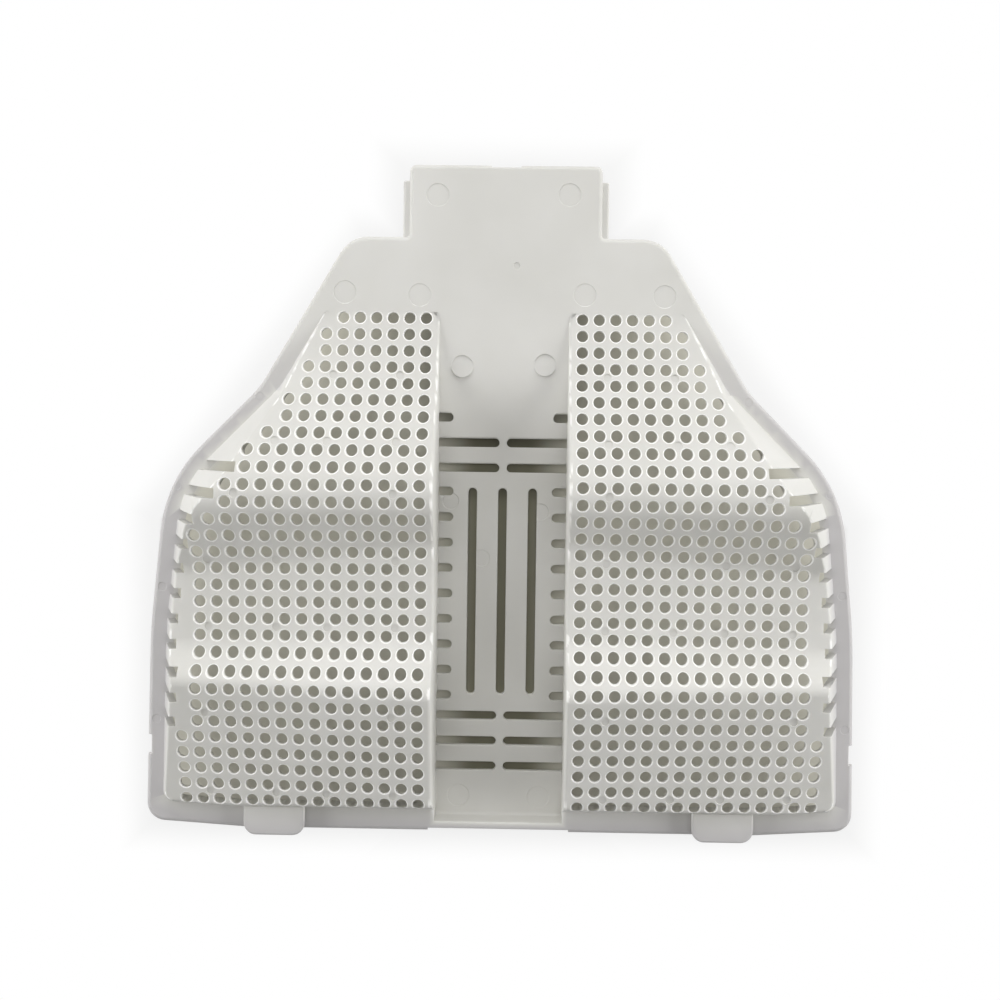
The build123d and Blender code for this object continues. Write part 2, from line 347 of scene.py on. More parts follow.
# %% Wing solids
WING_HALF = [
    (CHANNEL, WING_START),
    (48.28, WING_START),
    (59.2, 27.3),
    (82.1, 4.2),
    (85.5, -31.7),
    (86.2, -78.9),
    (62.0, FRONT),
    (CHANNEL, FRONT),
]
WING_ROUNDS = [2.6, 2.0, 16.0, 28.0, 150.0, 3.0, 30.0, 0.02]
WING_MARGINS = [0.0, 3.7, 2.9, 3.5, 3.5, 4.6, 4.6, 0.0]
LEANING = [0, 1, 1, 0.85, 0.85, 0.76, 0.76, 0]
WALL_HEIGHT = 32.0


def bar(name, corners, x0, x1, steps=10):
    """Solid from an outline of (y, z, radius) corners, pulled from x0 to x1."""
    outline = rounded(corners, steps)
    return solid(name, [[(x, y, z) for y, z in outline] for x in (x0, x1)])


def under_section(drop):
    """Solid below a wing's section, from the middle to past its side."""
    rings = []
    for x, lines in ((NEAR_X, NEAR), (FAR_X, FAR)):
        ring = [(x, y, RIM + z - drop) for y, z in lines[:, :2]]
        ring += [(x, lines[-1, 0], RIM - 25), (x, lines[0, 0], RIM - 25)]
        rings.append(ring)
    return solid("under_section", rings)


def wing_block(name, thinner, drop, base):
    """Solid within a wing's leaning walls and under its section."""
    margins = [m + thinner for m in WING_MARGINS]
    foot = [(x, y, r) for (x, y), r in zip(inset(WING_HALF, margins), WING_ROUNDS)]
    rings = []
    for rise in (0.0, WALL_HEIGHT):
        lean = [rise * LEAN * side for side in LEANING]
        rings.append([(x, y, base + rise) for x, y in set_in(foot, lean, 12)])
    block = solid(name, rings)
    combine(block, under_section(drop), "INTERSECT")
    return block, foot, inset(foot, lean)


def soften(thing, widths, segments):
    """Bevel each edge of an object by its own width, given as edge index to width."""
    widest = max(widths.values())
    weights = thing.data.attributes.new("bevel_weight_edge", "FLOAT", "EDGE")
    for index, width in widths.items():
        weights.data[index].value = width / widest
    step = thing.modifiers.new("soften", "BEVEL")
    step.limit_method = "WEIGHT"
    step.width = widest
    step.segments = segments
    step.use_clamp_overlap = False
    bake(thing)


def sharp_edges(mesh, least):
    """Indices of edges where two faces meet at more than an angle in degrees."""
    faces_at = {}
    for p in mesh.polygons:
        for key in p.edge_keys:
            faces_at.setdefault(key, []).append(p.normal)
    found = []
    for e in mesh.edges:
        pair = faces_at.get(tuple(sorted(e.vertices)), [])
        if len(pair) == 2 and math.degrees(pair[0].angle(pair[1], 0)) > least:
            found.append(e.index)
    return found


wing, wing_foot, wing_top = wing_block("wing", 0.0, 0.0, RIM - PLATE)
roll_widths = {}
for index in sharp_edges(wing.data, 24):
    ends = [wing.data.vertices[k].co for k in wing.data.edges[index].vertices]
    low = min(v.z for v in ends) - RIM
    if low < 0.05:
        continue
    at_channel = all(abs(v.x - CHANNEL) < 0.01 for v in ends)
    roll_widths[index] = min(0.9 if at_channel else 0.45, 0.1 + 0.5 * low)
soften(wing, roll_widths, 4)
left_wing = mirrored(wing, "left_wing")
combine(tray, joined("wings", [wing, left_wing]), "UNION")
print("wings joined, softened edges:", len(roll_widths), "cubic millimetres:", volume(tray))

# %% [markdown]
# ## The trough, the hollows and the channel
# The channel is sunk below the plate, so a trough is added first and hollowed after. The space below each
# wing is cut away as a thinner copy of the wing, which leaves an even wall. The channel comes last and
# opens everything above its floor, with a smooth ramp at the back and a low lip at the front.

# %% Trough, hollows and channel
RAMP_TOP, RAMP_FOOT, RAMP_ROUND = 33.3, 10.3, 50.0
trough = [
    (WING_START, RIM, 0.02),
    (LIP_OUTSIDE, RIM, 0.5),
    (LIP_OUTSIDE, 0.0, 1.2),
    (RAMP_FOOT + 0.3, 0.0, RAMP_ROUND + PLATE),
    (RAMP_TOP + 0.3, RIM - PLATE, RAMP_ROUND - PLATE),
    (WING_START, RIM - PLATE, 0.02),
]
combine(tray, bar("trough", trough, -CHANNEL - WALL, CHANNEL + WALL), "UNION")
hollow = wing_block("hollow", WALL, ROOF, RIM - PLATE - 1)[0]
combine(tray, joined("hollows", [hollow, mirrored(hollow, "left_hollow")]), "DIFFERENCE")
channel = [
    (WING_START + 1, RIM + 34, 0.02),
    (FRONT - 1, RIM + 34, 0.02),
    (FRONT - 1, RIM, 0.02),
    (LIP_INSIDE, RIM, 0.5),
    (LIP_INSIDE, FLOOR, 0.8),
    (RAMP_FOOT, FLOOR, RAMP_ROUND),
    (RAMP_TOP, RIM, RAMP_ROUND),
    (WING_START + 1, RIM, 0.02),
]
combine(tray, bar("channel", channel, -CHANNEL, CHANNEL), "DIFFERENCE")
corner_points = 11
RAMP_LINE = np.array(rounded(channel, corner_points - 1)[5 * corner_points:7 * corner_points])


def floor_at(y):
    """Height of the channel's floor, ramp and all."""
    return np.interp(y, RAMP_LINE[:, 0], RAMP_LINE[:, 1])


front = both_sides([(CHANNEL + WALL, LIP_OUTSIDE, 0.02), (CHANNEL + WALL, FRONT - 2, 0.02)])
combine(tray, prism("front_gap", front, [(-1, 0), (RIM + 1, 0)], 1), "DIFFERENCE")
print("channel open, cubic millimetres:", volume(tray))

# %% [markdown]
# ## Drain slots
# Three long slots, five pairs of cross slots and two rows of short ones let the water out of the channel.
# Their upper edges are broken, so each cutting tool flares at the floor's level. The slots at the walls run
# on into low windows.

# %% Slots
SLOT = 2.1
LONG_SLOTS = (-7.4, 0.0, 7.4)
LONG_SLOT_ENDS = (-47.8, 3.3)
CROSS_START, CROSS_ROWS = 0.9, (14.5, 8.3, -53.2, -59.5, -65.8)
SHORT_START, SHORT_ROWS = CHANNEL - 3.4, [2.4 - 6.32 * i for i in range(9)] + [20.6]
WINDOW_HEIGHT = 3.0
FLARE = [(-0.3, 0.0), (-0.1, -0.07), (0.06, -0.32), (0.5, -0.32)]


def slot_tool(x0, x1, y0, y1):
    """Cutter for one slot with full round ends."""
    r, level = SLOT / 2, float(floor_at(y1))
    layers = [(-1.0, 0.0)] + [(level + z, margin) for z, margin in FLARE]
    return prism("slot", [(x1, y1, r), (x1, y0, r), (x0, y0, r), (x0, y1, r)], layers, 8)


def window_tool(x0, x1, y):
    """Cutter for the low window in which a slot ends."""
    low, high, top = y - SLOT / 2, y + SLOT / 2, float(floor_at(y)) + WINDOW_HEIGHT
    return bar("window", [(high, top, 0.5), (high, 0.6, 0.1), (low, 0.6, 0.1), (low, top, 0.5)], x0, x1, 3)


slots, windows = [], []
for x in LONG_SLOTS:
    slots.append(slot_tool(x - SLOT / 2, x + SLOT / 2, *LONG_SLOT_ENDS))
rows = [(CROSS_START, y) for y in CROSS_ROWS] + [(SHORT_START, y) for y in SHORT_ROWS]
for start, y in rows:
    for side in (-1, 1):
        x0, x1 = sorted((side * start, side * (CHANNEL + WALL + SLOT)))
        slots.append(slot_tool(x0, x1, y - SLOT / 2, y + SLOT / 2))
        x0, x1 = sorted((side * (CHANNEL - 0.4), side * (CHANNEL + WALL + 1)))
        windows.append(window_tool(x0, x1, y))
print("slots:", len(slots), "windows:", len(windows))
combine(tray, joined("slots", slots), "DIFFERENCE")
combine(tray, joined("windows", windows), "DIFFERENCE")
print("faces after the slots:", len(tray.data.polygons))

# %% [markdown]
# ## Comb, tongues and small cuts
# Eleven notches comb each outer wall from the rim up through the edge of the roof. Two tongues stand out of
# the front wall over the rim, and the neck and both long edges have a small cut each.

# %% Comb, tongues and notches
COMB_COUNT, COMB_START, COMB_PITCH = 11, 8.2, 6.03
COMB_HALF, COMB_BITE = 1.2, 1.7
SIDE = 86.2
EDGE_CUTS = ((-3.6, 3.6, 80.7, 84), (85.0, 88, -62.6, -57.8), (-88, -85.0, -62.6, -57.8))
TONGUE_SIDES, TONGUE_ROOT, TONGUE_TIP = (46.8, 61.6), -74.0, -81.2


def crossing(y, corners):
    """Greatest x at which an outline crosses the level y."""
    best = 0.0
    for i in range(len(corners)):
        (ax, ay), (bx, by) = corners[i - 1][:2], corners[i][:2]
        if (ay > y) != (by > y):
            best = max(best, ax + (y - ay) * (bx - ax) / (by - ay))
    return best


def roof_edge(y):
    """Distance from the middle at which a wing's leaning wall meets its roof."""
    low, high = crossing(y, wing_foot), crossing(y, wing_top)
    x = low
    for _ in range(4):
        x = low + (high - low) * (max(roof(x, y)[0, 0], 0) + PLATE) / WALL_HEIGHT
    return x


def box(x0, x1, y0, y1, round_by):
    """Clockwise corners of a rectangle."""
    return [(x1, y1, round_by), (x1, y0, round_by), (x0, y0, round_by), (x0, y1, round_by)]


notches = []
for i in range(COMB_COUNT):
    y = COMB_START - COMB_PITCH * i
    reach = roof_edge(y) - COMB_BITE
    for side in (-1, 1):
        x0, x1 = sorted((side * reach, side * SIDE))
        notch = box(x0, x1, y - COMB_HALF, y + COMB_HALF, 0.1)
        notches.append(prism("notch", notch, [(RIM, 0), (RIM + 34, 0)], 2))
for x0, x1, y0, y1 in EDGE_CUTS:
    layers = [(0, 0), (RIM - 0.3, 0), (RIM + 0.1, -0.3), (RIM + 1, -0.3)]
    notches.append(prism("cut", box(x0, x1, y0, y1, 0.3), layers, 3))
print("notches and cuts:", len(notches))
combine(tray, joined("notches", notches), "DIFFERENCE")
tongues = []
for side in (-1, 1):
    x0, x1 = sorted(side * x for x in TONGUE_SIDES)
    flap = [(x1, TONGUE_ROOT, 0.1), (x1, TONGUE_TIP, 3.0), (x0, TONGUE_TIP, 3.0), (x0, TONGUE_ROOT, 0.1)]
    tongues.append(prism("tongue", flap, rolled(RIM + 2.2, RIM + 3.8, 0.55), 8))
combine(tray, joined("tongues", tongues), "UNION")
print("tongues:", len(tongues), "faces:", len(tray.data.polygons))

# %% [markdown]
# ## The perforation
# The wings carry 366 round holes each, on a square grid. A hole in a moulding goes straight up and its rim
# is rolled over, and that roll shows as a pale ring, which a painted highlight later makes paler still. So
# the tool for a hole is a pin that flares just below the roof, and its rings follow the roof's own slope,
# hole by hole.

# %% Holes
HOLE = 1.36
PITCH = 4.0
FIRST_X, FIRST_Y = 18.83, 44.3
ROW_COUNTS = [6, 7, 7, 8, 8, 9, 9, 10, 11, 11, 12, 12, 13] + [14] * 12 + [15] * 5
PIN_SIDES = 20
PIN_RINGS = [(HOLE, -0.28), (HOLE + 0.1, -0.1), (HOLE + 0.34, 0.04), (HOLE + 0.34, 2.0)]


def pins(name, centres, rings, bottom, sides):
    """One mesh of round cutters whose upper rings follow the roof of the wings."""
    centres = np.array(centres)
    angles = np.arange(sides) * 2 * np.pi / sides + np.pi / sides
    around = np.stack([np.cos(angles), np.sin(angles)], 1)
    layers = []
    for k, (radius, offset) in enumerate([(rings[0][0], None)] + list(rings)):
        xy = centres[:, None, :] + radius * around[None]
        flat = xy.reshape(-1, 2)
        height = np.maximum(roof(flat[:, 0], flat[:, 1])[:, 0], 0) + RIM
        z = np.full(len(flat), bottom) if bottom is not None else height - 0.3
        layers.append(np.column_stack([flat, z if offset is None else height + offset]))
    count = len(centres) * sides
    points = np.concatenate(layers)
    faces = []
    for c in range(len(centres)):
        ids = [[r * count + c * sides + i for i in range(sides)] for r in range(len(layers))]
        faces.append(ids[0][::-1])
        faces.append(ids[-1])
        for low, high in zip(ids, ids[1:]):
            for i in range(sides):
                j = (i + 1) % sides
                faces.append((low[i], low[j], high[j], high[i]))
    mesh = bpy.data.meshes.new(name)
    mesh.from_pydata(points.tolist(), [], faces)
    thing = bpy.data.objects.new(name, mesh)
    bpy.context.scene.collection.objects.link(thing)
    return thing


def score(thing):
    """Cut a wing's roof and its underside along the lines between the holes, one cell to a hole."""
    bm = bmesh.new()
    bm.from_mesh(thing.data)
    planes = [((FIRST_X + PITCH * (k - 0.5)) * side, 0) for k in range(16) for side in (-1, 1)]
    planes += [(FIRST_Y - PITCH * (k - 0.5), 1) for k in range(31)]
    for place, axis in planes:
        faces = []
        for f in bm.faces:
            if abs(f.normal.z) < 0.25 or f.calc_center_median().z < RIM - PLATE - 0.5:
                continue
            spots = [v.co[axis] for v in f.verts]
            if min(spots) < place - 0.01 and max(spots) > place + 0.01:
                faces.append(f)
        parts = set(faces)
        for f in faces:
            parts.update(f.edges)
            parts.update(f.verts)
        normal = (1, 0, 0) if axis == 0 else (0, 1, 0)
        point = (place, 0, 0) if axis == 0 else (0, place, 0)
        bmesh.ops.bisect_plane(bm, geom=list(parts), dist=0.002, plane_co=point, plane_no=normal)
    bm.to_mesh(thing.data)
    bm.free()


score(tray)
print("roof scored into cells, faces:", len(tray.data.polygons))
centres = []
for row, count in enumerate(ROW_COUNTS):
    for column in range(count):
        x, y = FIRST_X + PITCH * column, FIRST_Y - PITCH * row
        centres += [(x, y), (-x, y)]
combine(tray, pins("hole_pins", centres, PIN_RINGS, 4.0, PIN_SIDES), "DIFFERENCE")
print("holes:", len(centres), "faces:", len(tray.data.polygons))

# %% [markdown]
# ## Ejector marks
# Pins push the warm moulding out of its mould, and each leaves a shallow disc: large ones on the plate and
# the channel's floor, small ones between the holes and on the rim. They are cut a fraction of a millimetre
# deep with a flared tool, so that their outlines catch the light as the real ones do. On the sloping ramp a
# level disc is half pad and half recess, so there it is added first and then trimmed.

# %% Ejector marks
LARGE_MARKS = [(-16.4, 73.9), (15.3, 74.2), (-38.6, 50.4), (-20.5, 49.9), (19.3, 50.3), (38.5, 50.1)]
FLOOR_MARKS = [
    (-10.1, -73.2, 2.7), (9.8, -73.4, 2.7),
    (-12.8, 0.0, 2.0), (9.4, -2.4, 2.0), (-5.0, -14.0, 2.0),
]
RAMP_PADS = [(-10.1, 32.9), (9.9, 33.4)]
RIM_MARKS = [(59.0, 25.0), (79.2, 3.0), (82.5, -21.5), (83.8, -54.0)]
SMALL_MARKS = [
    (1, 3), (5, 3), (1, 7), (5, 7), (8, 7), (1, 10), (10, 10), (1, 14), (8, 14), (12, 14),
    (1, 18), (5, 18), (8, 18), (12, 18), (1, 23), (12, 23), (1, 28), (5, 28), (8, 28), (12, 28),
]


def disc(x, y, radius, layers):
    """Round solid, one layer for each (height, margin)."""
    ring = [(x + radius, y + radius, radius), (x + radius, y - radius, radius),
            (x - radius, y - radius, radius), (x - radius, y + radius, radius)]
    return prism("disc", ring, layers, 8)


def mark(x, y, level, radius, depth):
    """Cutter for a shallow round mark in a level face."""
    return disc(x, y, radius, [(level - depth, 0.0), (level - 0.03, -0.06), (level + 0.05, -0.2)])


pads = [disc(x, y, 2.7, [(RIM - 1.9, 0), (RIM - 0.68, 0), (RIM - 0.6, 0.08)]) for x, y in RAMP_PADS]
recesses = [disc(x, y, 2.6, [(RIM - 0.6, 0), (RIM - 0.5, -0.1), (RIM + 1, -0.1)]) for x, y in RAMP_PADS]
combine(tray, joined("pads", pads), "UNION")
combine(tray, joined("recesses", recesses), "DIFFERENCE")
marks = [mark(x, y, RIM, 2.7, 0.14) for x, y in LARGE_MARKS]
marks += [mark(x * side, y, RIM, 1.0, 0.1) for x, y in RIM_MARKS for side in (-1, 1)]
marks += [mark(x, y, FLOOR, r, 0.12) for x, y, r in FLOOR_MARKS]
marks.append(mark(2.8, 57.1, RIM, 0.8, 0.2))
print("pads:", len(pads), "marks on level faces:", len(marks))
combine(tray, joined("marks", marks), "DIFFERENCE")
spots = []
for column, row in SMALL_MARKS:
    x, y = FIRST_X + PITCH * (column + 0.5), FIRST_Y - PITCH * (row + 0.5)
    spots += [(x, y), (-x, y)]
small_rings = [(1.0, -0.16), (1.02, -0.03), (1.12, 0.05), (1.12, 1.0)]
combine(tray, pins("small_marks", spots, small_rings, None, 16), "DIFFERENCE")
print("marks between holes:", len(spots))

# %% [markdown]
# ## Scale and normals
# The mesh goes from millimetres to metres here. Cutting leaves long thin faces on the roof, and Blender
# would shade them unevenly. So wherever a corner lies on a surface that is known exactly, the roof, the
# plate or the channel's floor, it is given that surface's own normal. The ramp is shaded flatter than it
# is, so that plate and channel flow into each other. Everything else is shaded smooth up to an angle.

# %% Smooth shading with exact normals
SMOOTH_UP_TO = 38
RAMP_EASE = 0.25


def face_corners(mesh):
    """Place of every face corner, and the normal of its face."""
    places = np.empty(len(mesh.vertices) * 3)
    mesh.vertices.foreach_get("co", places)
    owners = np.empty(len(mesh.loops), int)
    mesh.loops.foreach_get("vertex_index", owners)
    counts = np.array([p.loop_total for p in mesh.polygons])
    flat = np.repeat(np.array([p.normal for p in mesh.polygons]), counts, 0)
    return places.reshape(-1, 3)[owners], flat


def climbing(across, along):
    """Unit normals of a surface that climbs by these slopes."""
    normals = np.column_stack([-across, -along, np.ones(len(along))])
    return normals / np.linalg.norm(normals, axis=1)[:, None]


def shade(mesh, spot, flat):
    """Smooth a mesh and give its known surfaces their own normals."""
    mesh.shade_smooth()
    mesh.set_sharp_from_angle(angle=math.radians(SMOOTH_UP_TO))
    normals = np.empty(len(mesh.loops) * 3)
    mesh.corner_normals.foreach_get("vector", normals)
    normals = normals.reshape(-1, 3)
    x, y, z = np.abs(spot[:, 0]), spot[:, 1], spot[:, 2]
    level = (np.abs(z - RIM) < 0.004) | (np.abs(z - FLOOR) < 0.004)
    level &= flat[:, 2] > 0.75
    normals[level] = (0, 0, 1)

    fall = (floor_at(y + 0.1) - floor_at(y - 0.1)) / 0.2
    on_bed = (np.abs(z - floor_at(y)) < 0.02) & (flat[:, 2] > 0.85)
    on_bed &= (x < CHANNEL + 0.01) & (y > LIP_INSIDE + 1) & (y < WING_START)
    normals[on_bed] = climbing(np.zeros(len(x)), fall * RAMP_EASE)[on_bed]

    height, along, across = roof(x, y).T
    over = climbing(across * np.sign(spot[:, 0]), along)
    on_roof = (np.abs(z - RIM - height) < 0.015) & (height > 0.02)
    on_roof &= (x > CHANNEL) & (y < WING_START) & ((over * flat).sum(1) > 0.75)
    normals[on_roof] = over[on_roof]
    mesh.normals_split_custom_set(normals.tolist())
    return int(level.sum()), int(on_bed.sum()), int(on_roof.sum())


spot, flat = face_corners(tray.data)
tray.data.transform(Matrix.Scale(0.001, 4))
print("corners on the plate, the channel's bed and the roof:", shade(tray.data, spot, flat))

# %% [markdown]
# ## Zones of painted light
# Two zones get painted light: the rolled rims of the holes a painted highlight that makes them paler, and
# the flat rim outside the wings a painted shade with a cool cast, a little darker and more neutral. A value
# painted on the face corners tells the material where they are.

# %% Zones of painted light
# The painted shade on the flat rim is full in front of the second distance and gone behind the first, in
# mm.
RIM_SHADE_FROM, RIM_SHADE_FULL = 44, 20


def paint(mesh, name, values):
    """Store a value for every face corner."""
    zone = mesh.attributes.new(name, "FLOAT", "CORNER")
    zone.data.foreach_set("value", values.astype(np.float32))


def hole_rims(spot, flat):
    """True for the corners of the rolled rims of the holes."""
    x, y = np.abs(spot[:, 0]), spot[:, 1]
    height, along, across = roof(x, y).T
    tilt = (climbing(across * np.sign(spot[:, 0]), along) * flat).sum(1)
    off_x = (x - FIRST_X + PITCH / 2) % PITCH - PITCH / 2
    off_y = (y - FIRST_Y + PITCH / 2) % PITCH - PITCH / 2
    rims = (np.abs(spot[:, 2] - RIM - height) < 0.3) & (tilt < 0.985) & (tilt > 0.1)
    return rims & (np.hypot(off_x, off_y) < HOLE + 0.36) & (x > CHANNEL)


def flat_rim(spot):
    """True for the corners of the rim outside the wings, and of the tongues."""
    x, y = np.abs(spot[:, 0]), spot[:, 1]
    foot = np.array(wing_foot[1:6])[::-1]
    in_front = y < WALL_FOOT - 0.2
    beside = x > np.interp(y, foot[:, 1], foot[:, 0]) - 0.9
    return (in_front | (beside & (spot[:, 2] < RIM + 0.05))) & (x > CHANNEL + 0.3)


# Painted highlight: the corners on the rolled rims of the holes are made paler in the material.
pale = hole_rims(spot, flat)
# Painted shade with a cool cast: the flat rim outside the wings and the tongues are made darker and more
# neutral.
painted_rim_shade = flat_rim(spot)
paint(tray.data, "hole_rim_painted_highlight", pale)
paint(tray.data, "flat_rim_painted_shade", painted_rim_shade * np.clip((RIM_SHADE_FROM - spot[:, 1]) / (RIM_SHADE_FROM - RIM_SHADE_FULL), 0, 1))
print("corners on the hole rims and on the flat rim:", int(pale.sum()), int(painted_rim_shade.sum()))
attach(tray, "root")
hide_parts(NODE)

# %% [markdown]
# ## Moulded plastic
# The plastic is a matte, slightly warm grey. Two things keep it from looking like paint: a very fine grain
# from the mould's surface and soft cloudy differences in tone and gloss where the melt flowed. Both come
# from one node group, so that the table can use the same grain at another scale.

# %% Cloud and grain group
def link(tree, out_node, out_name, in_node, in_name):
    """Join two sockets by name."""
    tree.links.new(out_node.outputs[out_name], in_node.inputs[in_name])


def make_grain_group():
    """Node group with a broad cloud and a fine grain, both 0 to 1."""
    group = bpy.data.node_groups.new("cloud_and_grain", "ShaderNodeTree")
    for name, value in (("Cloud scale", 20.0), ("Grain scale", 4000.0)):
        socket = group.interface.new_socket(name, in_out="INPUT", socket_type="NodeSocketFloat")
        socket.default_value = value
    for name in ("Cloud", "Grain"):
        group.interface.new_socket(name, in_out="OUTPUT", socket_type="NodeSocketFloat")
    nodes = group.nodes
    values = nodes.new("NodeGroupInput")
    result = nodes.new("NodeGroupOutput")
    place = nodes.new("ShaderNodeTexCoord")
    cloud = nodes.new("ShaderNodeTexNoise")
    cloud.inputs["Detail"].default_value = 3.0
    cloud.inputs["Roughness"].default_value = 0.5
    grain = nodes.new("ShaderNodeTexNoise")
    grain.inputs["Detail"].default_value = 2.0
    link(group, place, "Object", cloud, "Vector")
    link(group, place, "Object", grain, "Vector")
    link(group, values, "Cloud scale", cloud, "Scale")
    link(group, values, "Grain scale", grain, "Scale")
    link(group, cloud, "Fac", result, "Cloud")
    link(group, grain, "Fac", result, "Grain")
    return group


grain_group = make_grain_group()
print("node group sockets:", [item.name for item in grain_group.interface.items_tree])


# %% Plastic material
def srgb(red, green, blue):
    """Colour of a picture, 0 to 255, as the linear colour that Blender mixes."""
    parts = []
    for value in (red, green, blue):
        v = value / 255
        parts.append(v / 12.92 if v <= 0.04045 else ((v + 0.055) / 1.055) ** 2.4)
    return tuple(parts) + (1.0,)


def ramp(tree, source, name, stops):
    """Colour ramp driven by a value."""
    node = tree.nodes.new("ShaderNodeValToRGB")
    tree.links.new(source.outputs[name], node.inputs["Fac"])
    while len(node.color_ramp.elements) < len(stops):
        node.color_ramp.elements.new(0.5)
    for element, (place, colour) in zip(node.color_ramp.elements, stops):
        element.position = place
        element.color = colour
    return node


def make_plastic():
    """Matte pale grey moulding."""
    material = bpy.data.materials.new("pale_moulded_plastic")
    material.use_nodes = True
    tree = material.node_tree
    shader = tree.nodes["Principled BSDF"]
    effect = tree.nodes.new("ShaderNodeGroup")
    effect.node_tree = grain_group
    effect.inputs["Cloud scale"].default_value = 38.0
    effect.inputs["Grain scale"].default_value = 5200.0
    tone = ramp(tree, effect, "Cloud", [(0.3, srgb(211, 210, 205)), (0.7, srgb(219, 218, 214))])
    colour = tone.outputs["Color"]
    # Painted shade with a cool cast on the flat rim, and a painted highlight on the rims of the holes.
    for name, tint in (("flat_rim_painted_shade", srgb(196, 194, 194)), ("hole_rim_painted_highlight", srgb(246, 245, 242))):
        zone = tree.nodes.new("ShaderNodeAttribute")
        zone.attribute_name = name
        mix = tree.nodes.new("ShaderNodeMix")
        mix.data_type = "RGBA"
        tree.links.new(zone.outputs["Fac"], mix.inputs["Factor"])
        tree.links.new(colour, mix.inputs["A"])
        mix.inputs["B"].default_value = tint
        colour = mix.outputs["Result"]
    tree.links.new(colour, shader.inputs["Base Color"])
    gloss = tree.nodes.new("ShaderNodeMapRange")
    gloss.inputs["To Min"].default_value = 0.5
    gloss.inputs["To Max"].default_value = 0.64
    link(tree, effect, "Cloud", gloss, "Value")
    link(tree, gloss, "Result", shader, "Roughness")
    bump = tree.nodes.new("ShaderNodeBump")
    bump.inputs["Strength"].default_value = 0.12
    bump.inputs["Distance"].default_value = 0.00004
    link(tree, effect, "Grain", bump, "Height")
    link(tree, bump, "Normal", shader, "Normal")
    shader.inputs["Subsurface Weight"].default_value = 0.3
    shader.inputs["Subsurface Radius"].default_value = (1.0, 1.0, 0.9)
    shader.inputs["Subsurface Scale"].default_value = 0.0015
    shader.inputs["IOR"].default_value = 1.46
    shader.inputs["Specular IOR Level"].default_value = 0.3
    return material


plastic = make_plastic()
tray.data.materials.clear()
tray.data.materials.append(plastic)
print("material:", plastic.name, "nodes:", len(plastic.node_tree.nodes))

# %% [markdown]
# ## Table and backdrop
# The tray lies on a plain matte table. Around the tray the table is drawn nearly white for rays that look
# at it, and for no others: the light that it throws back stays that of a matte surface. A faint shadow is
# kept next to the rim.

# %% Table top
TABLE_HALF = 1.5


def seen_rays(tree):
    """Socket that is 1 for rays which look at a surface: camera, glossy and transmission rays."""
    path = tree.nodes.new("ShaderNodeLightPath")
    value = path.outputs["Is Camera Ray"]
    for name in ("Is Glossy Ray", "Is Transmission Ray"):
        either = tree.nodes.new("ShaderNodeMath")
        either.operation = "MAXIMUM"
        tree.links.new(value, either.inputs[0])
        tree.links.new(path.outputs[name], either.inputs[1])
        value = either.outputs["Value"]
    return value


table_mesh = bpy.data.meshes.new("table_top")
table_corners = [(-TABLE_HALF, -TABLE_HALF, 0), (TABLE_HALF, -TABLE_HALF, 0)]
table_corners += [(TABLE_HALF, TABLE_HALF, 0), (-TABLE_HALF, TABLE_HALF, 0)]
table_mesh.from_pydata(table_corners, [], [(0, 1, 2, 3)])
table = bpy.data.objects.new("table_top", table_mesh)
bpy.context.scene.collection.objects.link(table)
white_table = bpy.data.materials.new("white_table")
white_table.use_nodes = True
table_mesh.materials.append(white_table)
tree = white_table.node_tree
matte = tree.nodes["Principled BSDF"]
matte.inputs["Roughness"].default_value = 0.8
matte.inputs["Specular IOR Level"].default_value = 0.1
print("table top, metres across:", 2 * TABLE_HALF)

# %% [markdown]
# ## Distance from the tray
# The table's tones depend on how far outside the tray a point lies. The outline is taken as straight
# pieces: for each, nodes work out how far the point is past it. The greatest of these is the distance from
# the body, and the neck is handled in the same way.

# %% Distance from the tray
NECK_HALF, NECK_END = 0.0245, 0.081
FLANK, BACK_END, FRONT_END = 0.086, 0.0635, 0.0805
SHOULDER_SLANT, SHOULDER_REACH, SHOULDER_SCALE = 0.75, 0.082, 0.8


def maths(operation, *inputs):
    """Math node of the table's material, from sockets and numbers."""
    node = tree.nodes.new("ShaderNodeMath")
    node.operation = operation
    for i, value in enumerate(inputs):
        if isinstance(value, (int, float)):
            node.inputs[i].default_value = value
        else:
            tree.links.new(value, node.inputs[i])
    return node.outputs[0]


place = tree.nodes.new("ShaderNodeTexCoord")
split = tree.nodes.new("ShaderNodeSeparateXYZ")
link(tree, place, "Object", split, "Vector")
along = split.outputs["Y"]
across = maths("ABSOLUTE", split.outputs["X"])
neck_end = maths("SUBTRACT", maths("ABSOLUTE", along), NECK_END)
neck = maths("MAXIMUM", maths("SUBTRACT", across, NECK_HALF), neck_end)
slant = maths("ADD", across, maths("MULTIPLY", along, SHOULDER_SLANT))
shoulder = maths("MULTIPLY", maths("SUBTRACT", slant, SHOULDER_REACH), SHOULDER_SCALE)
flank = maths("SUBTRACT", across, FLANK)
back = maths("SUBTRACT", along, BACK_END)
front = maths("SUBTRACT", maths("MULTIPLY", along, -1.0), FRONT_END)
body = maths("MAXIMUM", maths("MAXIMUM", shoulder, flank), maths("MAXIMUM", back, front))
outside = maths("MINIMUM", body, neck)
print("nodes for the distance:", len(tree.nodes))

# %% [markdown]
# ## Tones and painted shade of the table
# Under the wings the table is pale and slightly olive, which is the colour that shows through the holes. It
# is darker under the channel, a painted shade that makes the drain slots read as dark as they should, and
# neutral outside.

# %% Tones and painted shade of the table
SHADOW_WIDTH, SHADOW_WHITE = 0.010, 0.8


